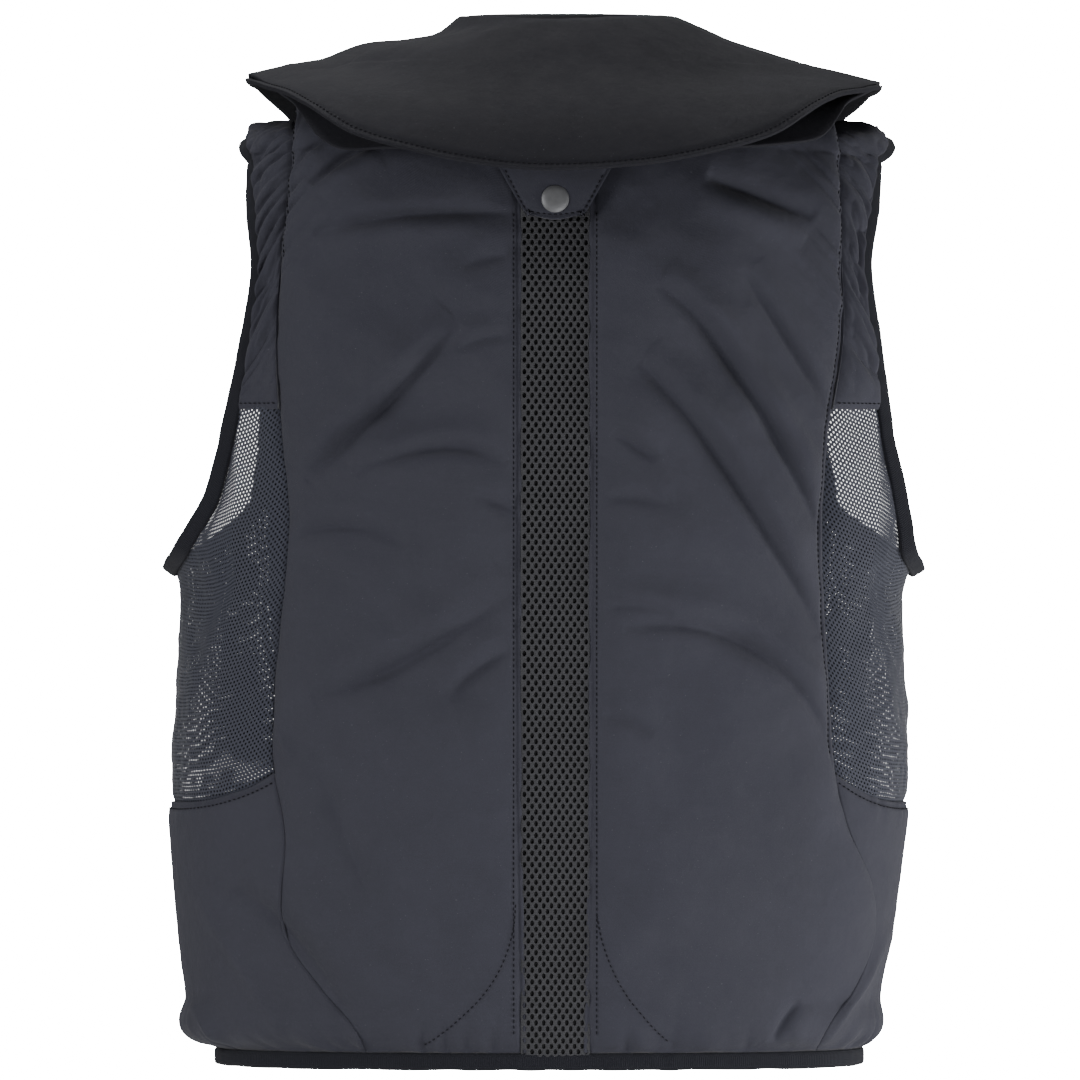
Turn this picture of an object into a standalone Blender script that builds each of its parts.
"""Airbag riding vest, modelled hollow as it stands on a wearer, seen from the back along +Y.

The vest is a set of cloth walls laid on one shared body form. The form is a stack of level
rings with square-shouldered oval sections. A point on it has an angle, 0 at the middle of the
back, 90 degrees at the wearer's right side and 180 at the middle of the front, and a level,
0 at the hem and 1 at the back of the neckline. The origin is the centre of the neck opening
at the back neckline, where the vest sits on the shoulders. +Z is up and +Y is the front.
"""

from collections import namedtuple

import bmesh
import bpy
import numpy as np
from mathutils import Vector

# Driving sizes, in metres
BODY_LENGTH = 0.552  # hem to back neckline
CHEST_WIDTH = 0.410
CHEST_DEPTH = 0.220
NECK_WIDTH = 0.1215
NECK_DEPTH = 0.113
FRONT_NECK_DROP = 0.055  # front neckline below the back one
BINDING_WIDTH = 0.0095
BINDING_THICKNESS = 0.0042
ARMHOLE_FLARE = 0.75  # how far the armhole binding leans out at the armpit, per unit of width
SPINE_WIDTH = 0.039
SPINE_RISE = 0.0006  # the middle of the spine mesh stands out this much more than its edges
ZIP_WIDTH = 0.014
ZIP_THICKNESS = 0.0032
LINING = 0.0013  # how far every wall reaches inside the form
SEAM_RISE = 0.0012  # how far every wall stands out of the form at its seams
BACK_PUFF = 0.0065  # padding of the back panels over their airbag
FRONT_PUFF = 0.0040
SIDE_PUFF = 0.0026
YOKE_PUFF = 0.0024
SEAM_GAP = 0.00035  # each wall stops this far short of its seam
RUFFLE_HEIGHT = 0.0022
RUFFLE_PITCH = 0.0185
FOLD_BOW = 0.014
FOLD_WIDTH = 0.010
FOLD_DEPTH = 0.0036
HEM_GATHER_HEIGHT = 0.0016
HEM_GATHER_PITCH = 0.031
HEM_GATHER_REACH = 0.030
HEM_GATHER_START = 0.006  # where above the seam the gathers have their full height

# Collar sizes, in metres
STAND_HEIGHT = 0.0275
STAND_THICKNESS = 0.0028
STAND_SET = 0.0018  # the stand's outer face lies this far inside the neckline
STAND_TUCK = 0.0030  # how far the stand reaches below the neckline
STAND_END = 172.0  # degrees from the middle of the back
ROLL_DROP = 0.0012  # the flap leaves the stand this far below its top
ROLL_DIP = 0.0030  # extra dip of the roll at the middle of the back
COLLAR_WIDTH = 0.352
COLLAR_BACK_REACH = 0.117
COLLAR_FRONT_REACH = 0.114
COLLAR_BACK_DROP = 0.060  # flap edge below the back neckline
COLLAR_LEFT_DROP, COLLAR_RIGHT_DROP = 0.009, 0.013
COLLAR_FRONT_DROP = 0.092
FLAP_THICKNESS = 0.0024
UNDERLAY_THICKNESS = 0.0020
UNDERLAY_TUCK = 0.0140  # the underlay's edge lies this far inside the flap's, at the back
UNDERLAY_CLEARANCE = 0.0042
LIFT_STEEPEST = 2.0  # how many clearances the collar may move level where the shoulder is steep
LIFT_BLEND = 0.020  # below the neckline, where the whole slope counts
FLAP_CLEARANCE = 0.0030  # beyond the underlay's
UNDERLAY_UP = 0.0080  # where the underlay leaves the stand, above the neckline
MOUTH_GAP = 0.0125  # widest gap between flap and underlay, at the pouch's mouth
COLLAR_END = 166.0  # degrees from the middle of the back

# Tab and snap sizes, in metres
TAB_TOP_WIDTH = 0.070
TAB_BOTTOM_WIDTH = 0.034
TAB_LENGTH = 0.0335
TAB_SHOWS = 0.0272  # how much of the tab's length shows below the collar
TAB_SAG = 0.0030  # how far the middle of the tab's lower edge hangs below its corners
TAB_CORNER = 0.0035  # cut of the tab's lower corners
TAB_THICKNESS = 0.0020
TAB_STAND_OFF = 0.0045  # the tab's inner face from the spine mesh's seams, at its foot
TAB_LEAN = 9.0  # degrees the tab's top leans in
SNAP_CENTRE_UP = 0.0110  # snap's centre above the tab's lowest point
SNAP_DIAMETER = 0.0152
SNAP_HEIGHT = 0.0022
STUD_DIAMETER = 0.0090
FIT_GAP = 0.0003

BACK_POWER = 2.45  # squareness of the sections behind and in front
FRONT_POWER = 2.25

# Body form. Heights are shares of the body length, widths of half the chest width, depths of
# half the chest depth. Left and right are the wearer's, and left is -X.
Section = namedtuple("Section", "height left right back front")
SECTIONS = (
    Section(0.000, 0.905, 0.820, 0.86, 0.90),
    Section(0.018, 0.912, 0.826, 0.87, 0.91),
    Section(0.030, 0.975, 0.860, 0.90, 0.93),
    Section(0.070, 0.985, 0.866, 0.92, 0.94),
    Section(0.135, 1.003, 0.895, 0.94, 0.95),
    Section(0.215, 1.022, 0.926, 0.955, 0.96),
    Section(0.265, 1.030, 0.944, 0.965, 0.97),
    Section(0.340, 1.028, 0.950, 0.975, 0.98),
    Section(0.415, 1.015, 0.942, 0.985, 0.99),
    Section(0.480, 1.008, 0.942, 1.000, 1.00),
    Section(0.524, 1.038, 0.988, 1.010, 1.01),
    Section(0.570, 1.008, 0.982, 1.016, 1.01),
    Section(0.630, 0.985, 0.956, 1.020, 1.01),
    Section(0.720, 0.965, 0.955, 1.010, 0.96),
    Section(0.800, 0.935, 0.950, 0.975, 0.89),
    Section(0.870, 0.890, 0.925, 0.905, 0.79),
    Section(0.905, 0.850, 0.900, 0.850, 0.72),
    Section(0.930, 0.800, 0.868, 0.795, 0.66),
)
# Shoulders, from the last section above to the neck ring: shares of the rise, and of the way in
Shoulder = namedtuple("Shoulder", "rise width depth")
SHOULDERS = (
    Shoulder(0.20, 0.28, 0.24),
    Shoulder(0.45, 0.58, 0.54),
    Shoulder(0.70, 0.82, 0.79),
    Shoulder(0.88, 0.95, 0.94),
    Shoulder(1.00, 1.00, 1.00),
)
NECK_LEFT_SHARE = 0.445  # of the neck's width, as its middle lies a little to the right

# Seam between each back panel and its side, from hem to shoulder, as shares like the sections
Seam = namedtuple("Seam", "height left right")
BACK_SEAM = (
    Seam(0.000, 0.490, 0.680),
    Seam(0.036, 0.522, 0.712),
    Seam(0.080, 0.620, 0.785),
    Seam(0.138, 0.722, 0.845),
    Seam(0.180, 0.717, 0.838),
    Seam(0.235, 0.715, 0.780),
    Seam(0.290, 0.746, 0.746),
    Seam(0.360, 0.749, 0.732),
    Seam(0.450, 0.727, 0.717),
    Seam(0.545, 0.707, 0.710),
    Seam(0.635, 0.727, 0.727),
    Seam(0.725, 0.739, 0.761),
    Seam(0.815, 0.722, 0.756),
    Seam(0.890, 0.698, 0.751),
    Seam(1.000, 0.690, 0.742),
)
FRONT_SEAM = (
    Seam(0.000, 0.690, 0.670),
    Seam(0.300, 0.750, 0.725),
    Seam(0.660, 0.790, 0.745),
    Seam(1.000, 0.790, 0.745),
)
# Armhole edge of the cloth, behind and in front, from the armpit up to the shoulder
Armhole = namedtuple("Armhole", "height back_left back_right front_left front_right")
ARMHOLE = (
    Armhole(0.515, 0.978, 0.925, 0.912, 0.875),
    Armhole(0.545, 0.930, 0.916, 0.818, 0.760),
    Armhole(0.600, 0.878, 0.890, 0.776, 0.715),
    Armhole(0.650, 0.850, 0.868, 0.766, 0.698),
    Armhole(0.720, 0.812, 0.844, 0.745, 0.685),
    Armhole(0.800, 0.783, 0.818, 0.715, 0.680),
    Armhole(0.870, 0.802, 0.846, 0.712, 0.700),
    Armhole(0.910, 0.804, 0.861, 0.735, 0.760),
)
ARMPIT_HEIGHT = 0.492
TIP_LEFT, TIP_RIGHT = 0.800, 0.870  # where the armhole crosses the top of the shoulder

YOKE_HEIGHT = 0.655  # seam between the ruched yoke and the side mesh
SIDE_HEM_HEIGHT = 0.263  # seam between the side mesh and the lower side, at the side
SIDE_HEM_RISE = 0.030  # how much higher that seam starts at the front and back seams
FRONT_TOP_HEIGHT = 0.988  # the front panels end here, under the collar

# Steps of the panels' rows: hem to side mesh, side mesh, yoke, top of the shoulder
LOWER_STEPS, MESH_STEPS, YOKE_STEPS, SHOULDER_STEPS = 6, 7, 10, 4
# Steps of the mesh's columns under the yoke and along each half of its armhole edge
UNDER_YOKE_STEPS, ARMPIT_STEPS = 2, 6
ARMHOLE_FRONT_STEPS = 8

# Folds of the back, seen from behind: the two ends of each as shares of half the chest width and
# of the body length, and the middle's sideways bow, the half width and the depth as shares of
# FOLD_BOW, FOLD_WIDTH and FOLD_DEPTH
Fold = namedtuple("Fold", "x0 height0 x1 height1 bow width depth")
FOLDS = (
    Fold(-0.620, 0.828, -0.110, 0.851, 1.00, 0.70, 0.72),
    Fold(-0.255, 0.730, -0.640, 0.588, -0.86, 0.95, 0.94),
    Fold(-0.150, 0.606, -0.500, 0.585, 0.71, 0.80, 0.67),
    Fold(-0.145, 0.472, -0.580, 0.390, -0.71, 1.10, 0.94),
    Fold(-0.110, 0.412, -0.275, 0.368, 0.29, 0.85, 0.83),
    Fold(0.260, 0.775, 0.700, 0.518, -0.71, 0.95, 1.00),
    Fold(0.245, 0.690, 0.700, 0.432, -0.57, 1.00, 1.00),
    Fold(0.290, 0.455, 0.700, 0.355, 1.14, 1.05, 0.94),
    Fold(0.370, 0.880, 0.660, 0.850, -0.43, 0.80, 0.78),
    Fold(-0.850, 0.165, -0.560, 0.045, -0.57, 1.20, 1.39),
    Fold(0.640, 0.066, 0.580, 0.030, 0.00, 0.80, 0.56),
)

# Collar flap profile from roll to edge: share of the way out, and of the drop at that point
Profile = namedtuple("Profile", "out back left right front")
FLAP_PROFILE = (
    Profile(0.00, 0.00, 0.00, 0.00, 0.00),
    Profile(0.08, 0.02, 0.21, 0.09, 0.04),
    Profile(0.22, 0.10, 0.33, 0.28, 0.13),
    Profile(0.44, 0.30, 0.43, 0.51, 0.34),
    Profile(0.62, 0.51, 0.67, 0.68, 0.54),
    Profile(0.80, 0.74, 0.78, 0.81, 0.76),
    Profile(1.00, 1.00, 1.00, 1.00, 1.00),
)
# Mouth of the collar's pouch: degrees from the middle of the back, and shares of MOUTH_GAP
Mouth = namedtuple("Mouth", "angle left right")
MOUTH = (
    Mouth(0.0, -1.05, -1.05),
    Mouth(13.0, -0.95, -0.95),
    Mouth(24.0, -0.20, -0.20),
    Mouth(33.0, 0.30, 0.15),
    Mouth(42.0, 1.00, 0.60),
    Mouth(50.0, 0.85, 1.00),
    Mouth(64.0, 0.50, 0.80),
    Mouth(90.0, 0.45, 0.50),
    Mouth(130.0, 0.40, 0.40),
    Mouth(180.0, 0.30, 0.30),
)

COLOURS = {
    "shell": (0.045, 0.046, 0.058),
    "side_mesh": (0.035, 0.037, 0.046),
    "spine_mesh": (0.040, 0.040, 0.046),
    "binding": (0.022, 0.023, 0.030),
    "snap": (0.110, 0.112, 0.118),
    "zip": (0.020, 0.020, 0.024),
}

LEFT, RIGHT = -1, 1
HEM_TOP = BINDING_WIDTH / BODY_LENGTH


def smooth(table, name, at, key="height"):
    """Value of one column of a table at the given key: a curve through its rows."""
    keys = np.array([getattr(row, key) for row in table])
    values = np.array([getattr(row, name) for row in table])
    slopes = np.gradient(values, keys)
    at = np.clip(np.asarray(at, float), keys[0], keys[-1])
    low = np.clip(np.searchsorted(keys, at, side="right") - 1, 0, len(keys) - 2)
    step = keys[low + 1] - keys[low]
    t = (at - keys[low]) / step
    from_low = (2 * t**3 - 3 * t**2 + 1) * values[low] + (t**3 - 2 * t**2 + t) * step * slopes[low]
    from_high = (3 * t**2 - 2 * t**3) * values[low + 1] + (t**3 - t**2) * step * slopes[low + 1]
    return from_low + from_high


def half_neck(side):
    share = NECK_LEFT_SHARE if side == LEFT else 1 - NECK_LEFT_SHARE
    return NECK_WIDTH * share


def body_rings():
    """The sections in metres, with the shoulders worked out up to the neck ring."""
    rings = [
        Section(
            s.height,
            s.left * CHEST_WIDTH / 2,
            s.right * CHEST_WIDTH / 2,
            s.back * CHEST_DEPTH / 2,
            s.front * CHEST_DEPTH / 2,
        )
        for s in SECTIONS
    ]
    tip = rings[-1]
    for s in SHOULDERS:
        rings.append(
            Section(
                tip.height + (1 - tip.height) * s.rise,
                tip.left + (half_neck(LEFT) - tip.left) * s.width,
                tip.right + (half_neck(RIGHT) - tip.right) * s.width,
                tip.back + (NECK_DEPTH / 2 - tip.back) * s.depth,
                tip.front + (NECK_DEPTH / 2 - tip.front) * s.depth,
            )
        )
    return rings


RINGS = body_rings()


def power(angle):
    return np.where(np.cos(angle) > 0, BACK_POWER, FRONT_POWER)


def form(angle, height):
    """Points of the body form at these angles (radians) and heights (shares)."""
    angle, height = np.broadcast_arrays(np.asarray(angle, float), np.asarray(height, float))
    across, along = np.sin(angle), np.cos(angle)
    p = power(angle)
    reach = (np.abs(across) ** p + np.abs(along) ** p) ** (-1 / p)
    wide = np.where(across > 0, smooth(RINGS, "right", height), smooth(RINGS, "left", height))
    deep = np.where(along > 0, smooth(RINGS, "back", height), smooth(RINGS, "front", height))
    z = (height - 1) * BODY_LENGTH
    return np.stack([wide * reach * across, -deep * reach * along, z], axis=-1)


def outward(angle, height):
    """Unit normals of the form, pointing out of the body."""
    d = 1e-3
    height = np.asarray(height, float)
    around = form(angle + d, height) - form(angle - d, height)
    upward = form(angle, height + d) - form(angle, height - d)
    normal = np.cross(around, upward)
    # The cloth stands level where it meets the hem binding
    normal[..., 2] *= np.clip((height - HEM_TOP) / 0.03, 0, 1)
    return normal / np.linalg.norm(normal, axis=-1, keepdims=True)


def half_width(side, height):
    return smooth(RINGS, "right" if side == RIGHT else "left", height)


def angle_at(side, share, height, front=False):
    """Angle where the form is this share of half the chest width from the middle."""
    ratio = np.clip(share * CHEST_WIDTH / 2 / half_width(side, height), 0, 1)
    p = FRONT_POWER if front else BACK_POWER
    angle = np.arctan2(ratio, (1 - ratio**p) ** (1 / p))
    return side * (np.pi - angle if front else angle)


def ridge_height(side, share):
    """Height where the top of the shoulder is this share from the middle."""
    low, high = SECTIONS[-4].height, 1.0
    for _ in range(40):
        middle = (low + high) / 2
        if half_width(side, middle) > share * CHEST_WIDTH / 2:
            low = middle
        else:
            high = middle
    return low


def column(side, front=None):
    """Name of a table's column for one side of the vest."""
    name = "right" if side == RIGHT else "left"
    return name if front is None else ("front_" if front else "back_") + name


def shoulder_tip(side):
    """Height where the armhole crosses the top of the shoulder."""
    return ridge_height(side, TIP_RIGHT if side == RIGHT else TIP_LEFT)


def armhole_turn(side, height):
    """A height as an angle round the armhole: 0 at the armpit and pi at the shoulder."""
    rise = (np.asarray(height, float) - ARMPIT_HEIGHT) / (shoulder_tip(side) - ARMPIT_HEIGHT)
    return np.arccos(np.clip(1 - 2 * rise, -1, 1))


def armhole_point(side, turn, front):
    """Angle and height of the armhole edge at an angle round the armhole."""
    tip = shoulder_tip(side)
    knot = namedtuple("Knot", "turn angle")
    rows = [knot(0.0, side * np.pi / 2)]
    for row in ARMHOLE:
        share = getattr(row, column(side, front))
        angle = float(angle_at(side, share, row.height, front))
        rows.append(knot(float(armhole_turn(side, row.height)), angle))
    rows.append(knot(np.pi, side * np.pi / 2))
    height = ARMPIT_HEIGHT + (tip - ARMPIT_HEIGHT) * (1 - np.cos(turn)) / 2
    return float(smooth(rows, "angle", turn, "turn")), float(height)


def seam_angle(table, side, height, front=False):
    return angle_at(side, smooth(table, column(side), height), height, front)


def fold_depth(points):
    """How far the folds sink into the cloth at these points of the back."""
    depth = np.zeros(points.shape[:-1])
    x = points[..., 0]
    z = points[..., 2]
    for fold in FOLDS:
        start = np.array([fold.x0 * CHEST_WIDTH / 2, (fold.height0 - 1) * BODY_LENGTH])
        end = np.array([fold.x1 * CHEST_WIDTH / 2, (fold.height1 - 1) * BODY_LENGTH])
        run = end - start
        length = np.linalg.norm(run)
        t = ((x - start[0]) * run[0] + (z - start[1]) * run[1]) / length**2
        off = ((x - start[0]) * -run[1] + (z - start[1]) * run[0]) / length
        inside = np.clip(t, 0, 1)
        off = off - 4 * fold.bow * FOLD_BOW * inside * (1 - inside)
        beyond = (t - inside) * length
        fade = 0.35 + 0.65 * np.sin(np.pi * inside)
        width = fold.width * FOLD_WIDTH
        depth += fold.depth * FOLD_DEPTH * fade * np.exp(-(off**2 + beyond**2) / width**2)
    return depth


def crown(u, v, side_power=4, end_power=10):
    """Padding between seams: 0 at the edges of a panel and 1 over its middle."""
    return (1 - np.abs(2 * u - 1) ** side_power) * (1 - np.abs(2 * v - 1) ** end_power)


def hem_gathers(points, height, foot):
    """Small puckers where the cloth is gathered into the hem binding."""
    above = (height - foot) * BODY_LENGTH
    fade = np.exp(-((above / HEM_GATHER_REACH) ** 2)) * np.clip(above / HEM_GATHER_START, 0, 1)
    return HEM_GATHER_HEIGHT * fade * np.sin(2 * np.pi * points[..., 0] / HEM_GATHER_PITCH)


def coat(obj, colour, roughness=0.8, metallic=0.0):
    material = bpy.data.materials.new(obj.name)
    material.use_nodes = True
    shader = material.node_tree.nodes["Principled BSDF"]
    shader.inputs["Base Color"].default_value = (*COLOURS[colour], 1)
    shader.inputs["Roughness"].default_value = roughness
    shader.inputs["Metallic"].default_value = metallic
    obj.data.materials.append(material)


def add_object(name, data, colour, **finish):
    obj = bpy.data.objects.new(name, data)
    bpy.data.collections["airbag_vest"].objects.link(obj)
    coat(obj, colour, **finish)
    return obj


def loft(name, rings, colour, closed=False, **finish):
    """A solid through closed rings of equal count; its ends are capped unless it runs round."""
    bm = bmesh.new()
    rows = [[bm.verts.new(point) for point in ring] for ring in rings]
    count = len(rows[0])
    pairs = list(zip(rows, rows[1:]))
    if closed:
        pairs.append((rows[-1], rows[0]))
    for low, high in pairs:
        for i in range(count):
            j = (i + 1) % count
            bm.faces.new((low[i], low[j], high[j], high[i]))
    if not closed:
        for row in (rows[0], rows[-1]):
            for i in range(count // 2 - 1):
                bm.faces.new((row[i], row[i + 1], row[-i - 2], row[-i - 1]))
    bmesh.ops.recalc_face_normals(bm, faces=bm.faces)
    mesh = bpy.data.meshes.new(name)
    bm.to_mesh(mesh)
    bm.free()
    mesh.shade_smooth()
    mesh.set_sharp_from_angle(angle=np.radians(40))
    return add_object(name, mesh, colour, **finish)


def pull_in(grid, normal, gap):
    """Moves the rim of a grid of points in along the surface, square to each edge, by a gap."""
    moved = grid.copy()
    for axis in (0, 1):
        beside = np.gradient(grid, axis=1 - axis)
        for edge, next_in in ((0, 1), (-1, -2)):
            rim = (edge, slice(None)) if axis == 0 else (slice(None), edge)
            inside = (next_in, slice(None)) if axis == 0 else (slice(None), next_in)
            square = np.cross(normal[rim], beside[rim])
            square /= np.linalg.norm(square, axis=-1, keepdims=True)
            towards = np.sum((grid[inside] - grid[rim]) * square, axis=-1, keepdims=True)
            moved[rim] += square * np.sign(towards) * gap
    return moved


def wall(name, outer, inner, colour, **finish):
    """A cloth wall between two grids of points, rows running up and columns across."""
    rings = [[*out, *back[::-1]] for out, back in zip(outer, inner)]
    return loft(name, rings, colour, **finish)


def patch(low, high, left, right, rows, columns):
    """Angles and heights over a patch of the form. Its four edges are functions from 0 to 1."""
    v, u = np.meshgrid(np.linspace(0, 1, rows), np.linspace(0, 1, columns), indexing="ij")
    corner = [np.array(low(0.0)), np.array(low(1.0)), np.array(high(0.0)), np.array(high(1.0))]
    across = np.stack([np.array([low(t) for t in u[0]]), np.array([high(t) for t in u[0]])])
    upward = np.stack([np.array([left(t) for t in v[:, 0]]), np.array([right(t) for t in v[:, 0]])])
    u, v = u[..., None], v[..., None]
    points = (1 - v) * across[0][None] + v * across[1][None]
    points = points + (1 - u) * upward[0][:, None] + u * upward[1][:, None]
    corners = (1 - u) * (1 - v) * corner[0] + u * (1 - v) * corner[1]
    corners = corners + (1 - u) * v * corner[2] + u * v * corner[3]
    made = points - corners
    return made[..., 0], made[..., 1], u[..., 0], v[..., 0]


def spaced(knots, steps):
    """Values that climb through the knots, with this many even steps between each two."""
    rows = [knots[0]]
    for low, high, count in zip(knots, knots[1:], steps):
        rows.extend(np.linspace(low, high, count + 1)[1:])
    return np.array(rows)


def along(points, t):
    """A point part of the way along a line of points, 0 at its start and 1 at its end."""
    at = np.clip(t, 0, 1) * (len(points) - 1)
    low = min(int(at), len(points) - 2)
    share = at - low
    return tuple(np.array(points[low]) * (1 - share) + np.array(points[low + 1]) * share)


def panel(name, angle, height, rise, colour, **finish):
    """A wall on the form. rise is how far its outer face stands out at each point."""
    base = form(angle, height)
    normal = outward(angle, height)
    base = pull_in(base, normal, SEAM_GAP)
    outer = base + normal * rise[..., None]
    inner = base - normal * LINING
    return wall(name, outer, inner, colour, **finish)


def side_seam_height(t):
    """Height of the seam below the side mesh, from the back seam (0) to the front one (1)."""
    return SIDE_HEM_HEIGHT + SIDE_HEM_RISE * abs(2 * t - 1) ** 5


def seam_top(side):
    """Height where the back seam reaches the top of the shoulder."""
    return ridge_height(side, float(smooth(BACK_SEAM, column(side), 0.94)))


def back_rows(top):
    """Heights of the back's rows, given the height where the yoke's seam ends."""
    rows = spaced((HEM_TOP, side_seam_height(0), YOKE_HEIGHT), (LOWER_STEPS, MESH_STEPS))
    # Beside the yoke they close up towards the shoulder, as the armhole's own steps do
    turns = np.linspace(armhole_turn(LEFT, YOKE_HEIGHT), np.pi, YOKE_STEPS + 1)[1:]
    first = np.cos(armhole_turn(LEFT, YOKE_HEIGHT))
    beside_yoke = YOKE_HEIGHT + (top - YOKE_HEIGHT) * (first - np.cos(turns)) / (first + 1)
    return np.concatenate([rows, beside_yoke, np.linspace(top, 1.0, SHOULDER_STEPS + 1)[1:]])


def back_seam(side):
    """Angles and heights down the back seam, from the hem to the neck."""
    rows = back_rows(seam_top(side))
    return [(float(seam_angle(BACK_SEAM, side, h)) if h < seam_top(side) else side * np.pi / 2, h)
            for h in rows]


def spine_rows():
    return back_rows((seam_top(LEFT) + seam_top(RIGHT)) / 2)


def back_panel(side):
    """A padded back panel from the spine mesh to the side seam, up over the shoulder blade."""
    beside_spine = spine_rows()
    inner = angle_at(side, SPINE_WIDTH / CHEST_WIDTH, beside_spine)
    outer, seam_height = np.array(back_seam(side)).T
    u = np.linspace(0, 1, 10)[None]
    angle = inner[:, None] + (outer - inner)[:, None] * u
    height = beside_spine[:, None] + (seam_height - beside_spine)[:, None] * u
    v = np.broadcast_to(np.linspace(0, 1, len(outer))[:, None], angle.shape)
    swell = crown(np.broadcast_to(u, angle.shape), v)
    points = form(angle, height)
    rise = SEAM_RISE + BACK_PUFF * swell - fold_depth(points) * swell
    rise += hem_gathers(points, height, HEM_TOP) * swell
    rise = np.maximum(rise, SEAM_RISE * 0.6)
    return panel(f"back_panel_{column(side)}", angle, height, rise, "shell")


def spine_mesh():
    """The strip of spacer mesh down the middle of the back."""
    heights = spine_rows()
    left = angle_at(LEFT, SPINE_WIDTH / CHEST_WIDTH, heights)
    right = angle_at(RIGHT, SPINE_WIDTH / CHEST_WIDTH, heights)
    u = np.linspace(0, 1, 4)[None]
    angle = left[:, None] + (right - left)[:, None] * u
    height = np.broadcast_to(heights[:, None], angle.shape)
    rise = SEAM_RISE + SPINE_RISE * (1 - np.broadcast_to(2 * u - 1, angle.shape) ** 2)
    return panel("spine_mesh", angle, height, rise, "spine_mesh")


def yoke(side):
    """The ruched panel between a back panel and the armhole."""
    top_in, tip = seam_top(side), shoulder_tip(side)
    seam_line = back_seam(side)[LOWER_STEPS + MESH_STEPS : LOWER_STEPS + MESH_STEPS + YOKE_STEPS + 1]
    start = float(armhole_turn(side, YOKE_HEIGHT))
    turns = np.linspace(start, np.pi, 2 * YOKE_STEPS + 1)
    edge_line = [armhole_point(side, turn, False) for turn in turns]
    corner_in, corner_out = seam_line[0], edge_line[0]

    def ridge(t):
        return (side * np.pi / 2, top_in * (1 - t) + tip * t)

    angle, height, u, v = patch(
        lambda t: along([corner_in, corner_out], t),
        ridge,
        lambda t: along(seam_line, t),
        lambda t: along(edge_line, t),
        2 * YOKE_STEPS + 1,
        5,
    )
    points = form(angle, height)
    slant = 1.1 * u * RUFFLE_PITCH
    wave = np.sin(2 * np.pi * (points[..., 2] - slant) / RUFFLE_PITCH)
    swell = crown(u, v, 6, 12)
    rise = SEAM_RISE + YOKE_PUFF * swell
    rise += RUFFLE_HEIGHT * wave * swell
    return panel(f"yoke_{column(side)}", angle, height, np.maximum(rise, SEAM_RISE * 0.6), "shell")


def front_seam(side, low, high, steps):
    """Angles and heights up part of the front seam."""
    rows = np.linspace(low, high, steps + 1)
    return [(float(seam_angle(FRONT_SEAM, side, h, True)), h) for h in rows]


def front_corner(side):
    """Angle round the armhole where it meets the front seam."""
    low, high = 0.3, 2.2
    for _ in range(30):
        middle = (low + high) / 2
        edge, height = armhole_point(side, middle, True)
        seam = float(seam_angle(FRONT_SEAM, side, height, True))
        if side * (seam - edge) > 0:
            low = middle
        else:
            high = middle
    return low


def side_foot(side):
    """The seam below the side mesh, from the back seam to the front seam."""
    steps = UNDER_YOKE_STEPS + 2 * ARMPIT_STEPS
    back = float(seam_angle(BACK_SEAM, side, side_seam_height(0)))
    front = float(seam_angle(FRONT_SEAM, side, side_seam_height(1), True))
    shares = np.linspace(0, 1, steps + 1)
    return [(back + (front - back) * t, side_seam_height(t)) for t in shares]


def mesh_top(side):
    """The upper edge of the side mesh: under the yoke, round the armhole, to the front seam."""
    start = float(armhole_turn(side, YOKE_HEIGHT))
    line = [back_seam(side)[LOWER_STEPS + MESH_STEPS], armhole_point(side, start, False)]
    line = [along(line, t) for t in np.linspace(0, 1, UNDER_YOKE_STEPS + 1)]
    for turn in np.linspace(start, 0, ARMPIT_STEPS + 1)[1:]:
        line.append(armhole_point(side, turn, False))
    for turn in np.linspace(0, front_corner(side), ARMPIT_STEPS + 1)[1:]:
        line.append(armhole_point(side, turn, True))
    return line


def side_mesh(side):
    """The open mesh under the arm, from the back seam round to the front seam."""
    back_line = back_seam(side)[LOWER_STEPS : LOWER_STEPS + MESH_STEPS + 1]
    top = armhole_point(side, front_corner(side), True)[1]
    front_line = front_seam(side, side_seam_height(1), top, MESH_STEPS)
    foot, head = side_foot(side), mesh_top(side)
    front_line[-1] = head[-1]
    angle, height, u, v = patch(
        lambda t: along(foot, t),
        lambda t: along(head, t),
        lambda t: along(back_line, t),
        lambda t: along(front_line, t),
        MESH_STEPS + 1,
        len(foot),
    )
    rise = np.full(angle.shape, SEAM_RISE * 0.6)
    return panel(f"side_mesh_{column(side)}", angle, height, rise, "side_mesh")


def lower_side(side):
    """The cloth panel between the side mesh and the hem."""
    back_line = back_seam(side)[: LOWER_STEPS + 1]
    front_line = front_seam(side, HEM_TOP, side_seam_height(1), LOWER_STEPS)
    foot = [back_line[0], front_line[0]]
    head = side_foot(side)
    angle, height, u, v = patch(
        lambda t: along(foot, t),
        lambda t: along(head, t),
        lambda t: along(back_line, t),
        lambda t: along(front_line, t),
        LOWER_STEPS + 1,
        len(head),
    )
    points = form(angle, height)
    swell = crown(u, v, 6, 8)
    behind = np.clip(np.cos(angle) * 4, 0, 1)
    rise = SEAM_RISE + SIDE_PUFF * swell - fold_depth(points) * swell * behind
    rise += hem_gathers(points, height, HEM_TOP) * 0.6 * swell
    return panel(f"lower_side_{column(side)}", angle, height, np.maximum(rise, SEAM_RISE * 0.25), "shell")


def neckline_share(side, height):
    """Where the front neckline is at a height, as a share of half the chest width."""
    down = np.clip((1 - height) * BODY_LENGTH / FRONT_NECK_DROP, 0, 1)
    along = down ** (1 / 1.3)
    return half_neck(side) * np.sqrt(1 - along**2) / (CHEST_WIDTH / 2)


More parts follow.
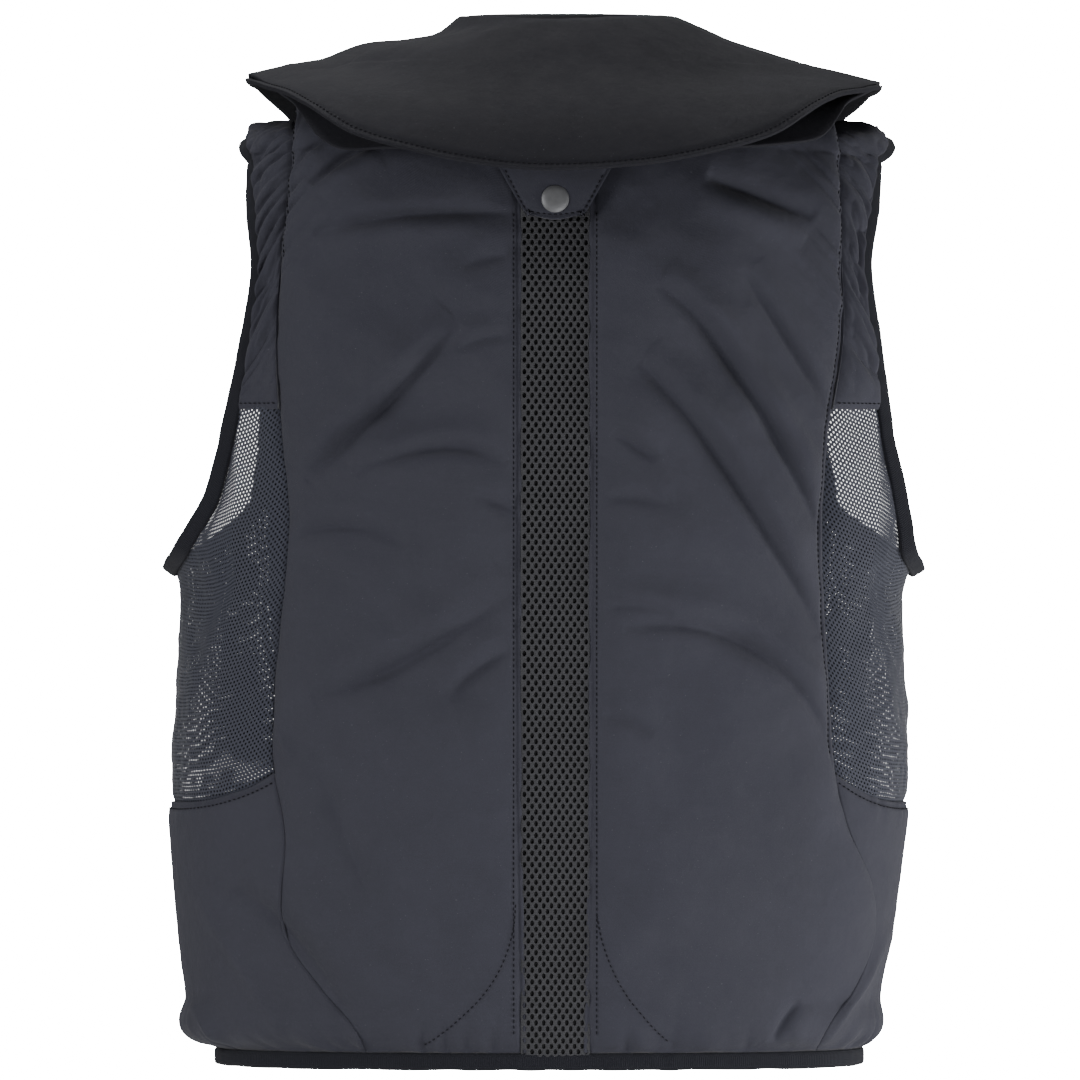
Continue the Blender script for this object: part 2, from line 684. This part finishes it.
def front_panel(side):
    """A front panel from the zip to the side seam and armhole, up to the shoulder."""
    start = front_corner(side)
    corner = armhole_point(side, start, True)
    line = front_seam(side, HEM_TOP, side_seam_height(1), LOWER_STEPS)[:-1]
    line += front_seam(side, side_seam_height(1), corner[1], MESH_STEPS)[:-1]
    for turn in np.linspace(start, np.pi, ARMHOLE_FRONT_STEPS + 1):
        line.append(armhole_point(side, turn, True))
    for share in np.linspace(0, 1, SHOULDER_STEPS)[1:]:
        tip = shoulder_tip(side)
        line.append((side * np.pi / 2, tip + (FRONT_TOP_HEIGHT - tip) * share))
    outer, outer_height = np.array(line).T
    # The rows lean up outwards beside the armhole, so that they stay apart under its top
    upper = spaced(
        (corner[1], 1 - FRONT_NECK_DROP / BODY_LENGTH, FRONT_TOP_HEIGHT),
        (ARMHOLE_FRONT_STEPS - SHOULDER_STEPS + 1, 2 * SHOULDER_STEPS - 2),
    )
    inner_height = np.concatenate([outer_height[: LOWER_STEPS + MESH_STEPS], upper])
    zip_share = ZIP_WIDTH / CHEST_WIDTH
    share = np.maximum(neckline_share(side, inner_height), zip_share)
    inner = angle_at(side, share, inner_height, True)
    u = np.linspace(0, 1, 8)[None]
    angle = inner[:, None] + (outer - inner)[:, None] * u
    height = inner_height[:, None] + (outer_height - inner_height)[:, None] * u
    v = np.broadcast_to(np.linspace(0, 1, len(outer))[:, None], angle.shape)
    swell = crown(np.broadcast_to(u, angle.shape), v)
    rise = SEAM_RISE + FRONT_PUFF * swell
    rise += hem_gathers(form(angle, height), height, HEM_TOP) * swell
    return panel(f"front_panel_{column(side)}", angle, height, rise, "shell")


def neckline(turn):
    """Point of the neckline at an angle from the middle of the back."""
    side = RIGHT if turn > 0 else LEFT
    along = max(0.0, -np.cos(turn))
    height = 1 - FRONT_NECK_DROP / BODY_LENGTH * along**1.3
    x = half_neck(side) * np.sin(turn)
    if abs(turn) <= np.pi / 2:
        point = form(turn, 1.0)
        return Vector(point)
    share = abs(x) / (CHEST_WIDTH / 2)
    angle = angle_at(side, share, height, True)
    return Vector(form(angle, height))


def collar_turns(count, end):
    return np.radians(np.linspace(-end, end, count))


def neck_normal(turn):
    """Level direction out of the neck."""
    step = 0.02
    along = neckline(turn + step) - neckline(turn - step)
    normal = Vector((along.y, -along.x, 0)).normalized()
    return normal


def neck_stand():
    """The spacer mesh band that stands round the neck inside the collar."""
    outer, inner = [], []
    for up in np.linspace(-STAND_TUCK, STAND_HEIGHT, 4):
        outer_row, inner_row = [], []
        for turn in collar_turns(29, STAND_END):
            base = neckline(turn) + Vector((0, 0, up))
            out = neck_normal(turn)
            outer_row.append(base - out * STAND_SET)
            inner_row.append(base - out * (STAND_SET + STAND_THICKNESS))
        outer.append(np.array(outer_row))
        inner.append(np.array(inner_row))
    return wall("neck_stand", outer, inner, "spine_mesh")


def from_stand(turn, up, clearance):
    """A point this far up the stand and this far out of its outer face."""
    return neckline(turn) + Vector((0, 0, up)) + neck_normal(turn) * (clearance - STAND_SET)


def body_size(point):
    """Size of the form's level section through a point, over that of the form: 1 on the form."""
    height = 1 + point.z / BODY_LENGTH
    wide = half_width(RIGHT if point.x > 0 else LEFT, height)
    deep = smooth(RINGS, "back" if point.y < 0 else "front", height)
    p = BACK_POWER if point.y < 0 else FRONT_POWER
    return float((abs(point.x / wide) ** p + abs(point.y / deep) ** p) ** (1 / p))


def level_gap(point, clearance):
    """The way off the body form, level behind and before it, and how far the point lacks."""
    step = 1e-4
    here = body_size(point)
    ways = (Vector((step, 0, 0)), Vector((0, step, 0)), Vector((0, 0, step)))
    slope = Vector([(body_size(point + way) - here) / step for way in ways])
    beside = (point.x**2 / (point.x**2 + point.y**2)) ** 4
    way = Vector((slope.x, slope.y, slope.z * beside)).normalized()
    level = np.hypot(slope.x, slope.y)
    below = min(max(-point.z / LIFT_BLEND, 0.0), 1.0)
    steep = level + (slope.length - level) * below**2 * (3 - 2 * below)
    # Above the neckline only the distance back down to it counts
    wanted = np.sqrt(max(0.0, clearance**2 - max(0.0, point.z) ** 2))
    gain = max(slope.dot(way), steep / LIFT_STEEPEST)
    return way, (wanted * steep - (here - 1)) / gain


def lift_off(point, clearance, least=0.0):
    """The point, moved level outwards by at least this and clear of the form, and how far."""
    moved = 0.0
    for _ in range(4):
        way, short = level_gap(point, clearance)
        short = max(short, least - moved)
        if short <= 0:
            break
        point = point + way * short
        moved += short
    return point, moved


def collar_edge(turn):
    """The flap's outer edge."""
    side = RIGHT if turn > 0 else LEFT
    share = 0.486 if side == LEFT else 0.514
    across, along = np.sin(turn), np.cos(turn)
    p = 2.2
    reach = (abs(across) ** p + abs(along) ** p) ** (-1 / p)
    deep = COLLAR_BACK_REACH if along > 0 else COLLAR_FRONT_REACH
    end_drop = COLLAR_BACK_DROP if along > 0 else COLLAR_FRONT_DROP
    side_drop = COLLAR_LEFT_DROP if side == LEFT else COLLAR_RIGHT_DROP
    drop = side_drop + (end_drop - side_drop) * along**2
    return Vector((COLLAR_WIDTH * share * reach * across, -deep * reach * along, -drop))


def end_rounding(turn):
    """How much of the flap's reach is left as its front ends round off."""
    past = (abs(np.degrees(turn)) - (COLLAR_END - 26)) / 26
    return 1.0 if past <= 0 else 1 - 0.30 * (1 - np.sqrt(max(0.0, 1 - past**2)))


def drop_share(turn, out):
    """Share of the drop that the flap has made at a share of its way out."""
    column_name = "right" if turn > 0 else "left"
    beside = smooth(FLAP_PROFILE, column_name, out, "out")
    middle = smooth(FLAP_PROFILE, "back" if np.cos(turn) > 0 else "front", out, "out")
    weight = np.sin(turn) ** 2
    return float(beside * weight + middle * (1 - weight))


def sheet_wall(name, grid, thickness, colour):
    """A wall of even thickness round a grid of points that is its middle."""
    grid = np.array(grid)
    across = np.gradient(grid, axis=1)
    upward = np.gradient(grid, axis=0)
    normal = np.cross(across, upward)
    normal /= np.linalg.norm(normal, axis=-1, keepdims=True)
    half = normal * thickness / 2
    return wall(name, grid + half, grid - half, colour)


def collar_flap():
    """The upper layer of the collar, from its roll at the neck to the edge on the shoulders."""
    grid = []
    clearance = SEAM_RISE + BACK_PUFF + UNDERLAY_CLEARANCE + UNDERLAY_THICKNESS
    clearance += FLAP_CLEARANCE + FLAP_THICKNESS
    lifts = {}
    for out in (0, 0.08, 0.20, 0.38, 0.60, 0.80, 1.0):
        row = []
        for turn in collar_turns(43, COLLAR_END):
            dip = ROLL_DIP * max(0.0, np.cos(turn)) ** 6
            start = from_stand(turn, STAND_HEIGHT - ROLL_DROP - dip, FIT_GAP + FLAP_THICKNESS / 2)
            reach = (collar_edge(turn) - start) * end_rounding(turn)
            share = drop_share(turn, out)
            point = start + Vector((reach.x * out, reach.y * out, reach.z * share))
            if out > 0.1:
                point, lifts[turn] = lift_off(point, clearance, lifts.get(turn, 0.0))
            row.append(point)
        grid.append(row)
    return sheet_wall("collar_flap", grid, FLAP_THICKNESS, "shell")


def underlay_edge(turn):
    """The underlay's outer edge, below and inside the flap's."""
    column_name = "right" if turn > 0 else "left"
    gap = MOUTH_GAP * float(smooth(MOUTH, column_name, abs(np.degrees(turn)), "angle"))
    edge = collar_edge(turn)
    level = Vector((edge.x, edge.y, 0))
    level *= (level.length - UNDERLAY_TUCK * (1 - 0.8 * np.sin(turn) ** 2)) / level.length
    return Vector((level.x, level.y, edge.z - gap))


def collar_underlay():
    """The lower layer of the collar: with the flap it makes the pouch for the neck airbag."""
    grid = []
    clearance = SEAM_RISE + BACK_PUFF + UNDERLAY_THICKNESS / 2 + UNDERLAY_CLEARANCE
    lifts = {}
    for out in (0, 0.15, 0.4, 0.7, 1.0):
        row = []
        for turn in collar_turns(43, COLLAR_END):
            start = from_stand(turn, UNDERLAY_UP, FIT_GAP + UNDERLAY_THICKNESS / 2)
            reach = (underlay_edge(turn) - start) * end_rounding(turn)
            share = 0.45 * drop_share(turn, out) + 0.55 * out
            point = start + Vector((reach.x * out, reach.y * out, reach.z * share))
            if out > 0:
                point, lifts[turn] = lift_off(point, clearance, lifts.get(turn, 0.0))
            row.append(point)
        grid.append(row)
    return sheet_wall("collar_underlay", grid, UNDERLAY_THICKNESS, "shell")


def band(name, points, sideways, normals, width, thickness, colour, closed=True):
    """A folded tape: a flat rounded section carried along a line on the form."""
    section = ((0.0, -0.5), (0.0, 0.5), (0.72, 0.5), (1.0, 0.2), (1.0, -0.2), (0.72, -0.5))
    rings = []
    for point, beside, normal in zip(points, sideways, normals):
        rings.append([point + beside * w * width + normal * t * thickness for w, t in section])
    return loft(name, rings, colour, closed=closed)


def armhole_binding(side):
    """The tape bound round an armhole."""
    yoke_turn, front_turn = float(armhole_turn(side, YOKE_HEIGHT)), front_corner(side)
    behind = spaced((0.0, yoke_turn, np.pi), (ARMPIT_STEPS, 2 * YOKE_STEPS))
    ahead = spaced((0.0, front_turn, np.pi), (ARMPIT_STEPS, ARMHOLE_FRONT_STEPS))
    line = [armhole_point(side, turn, False) for turn in behind]
    line += [armhole_point(side, turn, True) for turn in ahead[-2:0:-1]]
    angle, height = np.array(line).T
    base = form(angle, height)
    normal = outward(angle, height)
    along_edge = np.roll(base, -1, axis=0) - np.roll(base, 1, axis=0)
    beside = np.cross(along_edge, normal)
    beside /= np.linalg.norm(beside, axis=-1, keepdims=True)
    beside *= np.sign(np.sum((base.mean(axis=0) - base) * beside))
    start = base + beside * 2 * SEAM_GAP
    low, high = height.min(), height.max()
    flare = ARMHOLE_FLARE * (1 - (height - low) / (high - low))[:, None] ** 3
    beside, normal = beside + normal * flare, normal - beside * flare
    beside /= np.linalg.norm(beside, axis=-1, keepdims=True)
    normal /= np.linalg.norm(normal, axis=-1, keepdims=True)
    start += beside * BINDING_THICKNESS / 2 * flare
    name = f"armhole_binding_{column(side)}"
    return band(name, start, beside, normal, BINDING_WIDTH, BINDING_THICKNESS, "binding")


def hem_binding():
    """The tape bound round the hem, from one side of the zip to the other."""
    end = np.pi - float(abs(angle_at(RIGHT, (ZIP_WIDTH / 2 + FIT_GAP) / (CHEST_WIDTH / 2), 0.0, True)))
    angle = np.linspace(-np.pi + end, np.pi - end, 49)
    top = np.full(angle.shape, HEM_TOP)
    start = form(angle, top) - np.array([0, 0, SEAM_GAP])
    normal = outward(angle, top)
    normal[:, 2] = 0
    normal /= np.linalg.norm(normal, axis=-1, keepdims=True)
    down = np.tile(np.array([0.0, 0.0, -1.0]), (len(angle), 1))
    width = BINDING_WIDTH - SEAM_GAP
    return band(
        "hem_binding", start, down, normal, width, BINDING_THICKNESS, "binding", closed=False
    )


def front_zip():
    """The closed zip down the middle of the front, one plain piece."""
    top = 1 - FRONT_NECK_DROP / BODY_LENGTH
    heights = np.linspace(0.0, top, 14)
    line = list(form(np.full(heights.shape, np.pi), heights))
    line.append(line[-1] + np.array([0, 0, STAND_HEIGHT]))
    outer, inner = [], []
    half = ZIP_WIDTH / 2 - FIT_GAP
    for point in line:
        rows = []
        for rise in (ZIP_THICKNESS * 0.6, -ZIP_THICKNESS * 0.4):
            shape = ((-1.0, 0.5), (-0.3, 0.6), (0.0, 1.0), (0.3, 0.6), (1.0, 0.5))
            rows.append([point + np.array([x * half, rise * r, 0]) for x, r in shape])
        outer.append(np.array(rows[0]))
        inner.append(np.array(rows[1]))
    return wall("front_zip", outer, inner, "zip", roughness=0.6)


def tab_place(up, out):
    """A point of the tab's plane: this far up it and this far out of its inner face."""
    height = 1 - (COLLAR_BACK_DROP + TAB_SHOWS) / BODY_LENGTH
    foot = form(0.0, height) - np.array([0, SEAM_RISE + TAB_STAND_OFF, 0])
    lean = np.radians(TAB_LEAN)
    upward = Vector((0, np.sin(lean), np.cos(lean)))
    return Vector(foot) + upward * up + Vector((0, -upward.z, upward.y)) * out


def snap_tab():
    """The tab that holds the collar down, a flat outline with a curved lower edge."""
    curve = bpy.data.curves.new("snap_tab", "CURVE")
    curve.dimensions = "2D"
    curve.fill_mode = "BOTH"
    curve.extrude = TAB_THICKNESS / 2
    spread = (TAB_TOP_WIDTH - TAB_BOTTOM_WIDTH) / 2 / (TAB_LENGTH - TAB_SAG)
    outline = [(-TAB_TOP_WIDTH / 2, TAB_LENGTH)]
    outline.append((-TAB_BOTTOM_WIDTH / 2 - TAB_CORNER * spread, TAB_SAG + TAB_CORNER))
    for t in np.linspace(-1, 1, 9):
        x = t * (TAB_BOTTOM_WIDTH / 2 - TAB_CORNER * 0.4)
        outline.append((x, TAB_SAG * t**2))
    outline.append((TAB_BOTTOM_WIDTH / 2 + TAB_CORNER * spread, TAB_SAG + TAB_CORNER))
    outline.append((TAB_TOP_WIDTH / 2, TAB_LENGTH))
    spline = curve.splines.new("POLY")
    spline.points.add(len(outline) - 1)
    for point, (x, y) in zip(spline.points, outline):
        point.co = (x, y, 0, 1)
    spline.use_cyclic_u = True
    tab = add_object("snap_tab", curve, "shell")
    tab.rotation_euler.x = np.pi / 2 - np.radians(TAB_LEAN)
    tab.location = tab_place(0, TAB_THICKNESS / 2)
    return tab


def disc(name, diameter, depth, location, colour, bevel, **finish):
    """A short round piece whose axis is square to the tab."""
    mesh = bpy.data.meshes.new(name)
    bm = bmesh.new()
    bmesh.ops.create_cone(
        bm, cap_ends=True, segments=24, radius1=diameter / 2, radius2=diameter / 2, depth=depth
    )
    bm.to_mesh(mesh)
    bm.free()
    obj = add_object(name, mesh, colour, **finish)
    obj.rotation_euler.x = np.pi / 2 - np.radians(TAB_LEAN)
    obj.location = location
    if bevel:
        rounding = obj.modifiers.new("rounding", "BEVEL")
        rounding.width = bevel
        rounding.segments = 2
        rounding.limit_method = "ANGLE"
    obj.data.shade_smooth()
    obj.data.set_sharp_from_angle(angle=np.radians(40))
    return obj


def snap_fastener():
    """The snap's cap on the tab, and the stud that holds the tab to the spine mesh."""
    cap_out = TAB_THICKNESS + FIT_GAP + SNAP_HEIGHT / 2
    disc(
        "snap_cap", SNAP_DIAMETER, SNAP_HEIGHT, tab_place(SNAP_CENTRE_UP, cap_out), "snap",
        SNAP_HEIGHT * 0.4, roughness=0.45, metallic=0.6,
    )
    spans = []
    for up in (-STUD_DIAMETER / 2, 0, STUD_DIAMETER / 2):
        point = tab_place(SNAP_CENTRE_UP + up, 0)
        mesh_face = form(0.0, 1 + point.z / BODY_LENGTH)[1] - SEAM_RISE - SPINE_RISE
        spans.append((mesh_face - point.y) * np.cos(np.radians(TAB_LEAN)))
    depth = float(min(spans)) - 2 * FIT_GAP
    place = tab_place(SNAP_CENTRE_UP, -FIT_GAP - depth / 2)
    disc("snap_stud", STUD_DIAMETER, depth, place, "snap", 0, roughness=0.45, metallic=0.6)


def clear_scene():
    for obj in list(bpy.data.objects):
        bpy.data.objects.remove(obj)


def main():
    clear_scene()
    collection = bpy.data.collections.new("airbag_vest")
    bpy.context.scene.collection.children.link(collection)
    for side in (LEFT, RIGHT):
        back_panel(side)
        yoke(side)
        side_mesh(side)
        lower_side(side)
        front_panel(side)
        armhole_binding(side)
    spine_mesh()
    hem_binding()
    front_zip()
    neck_stand()
    collar_flap()
    collar_underlay()
    snap_tab()
    snap_fastener()


main()
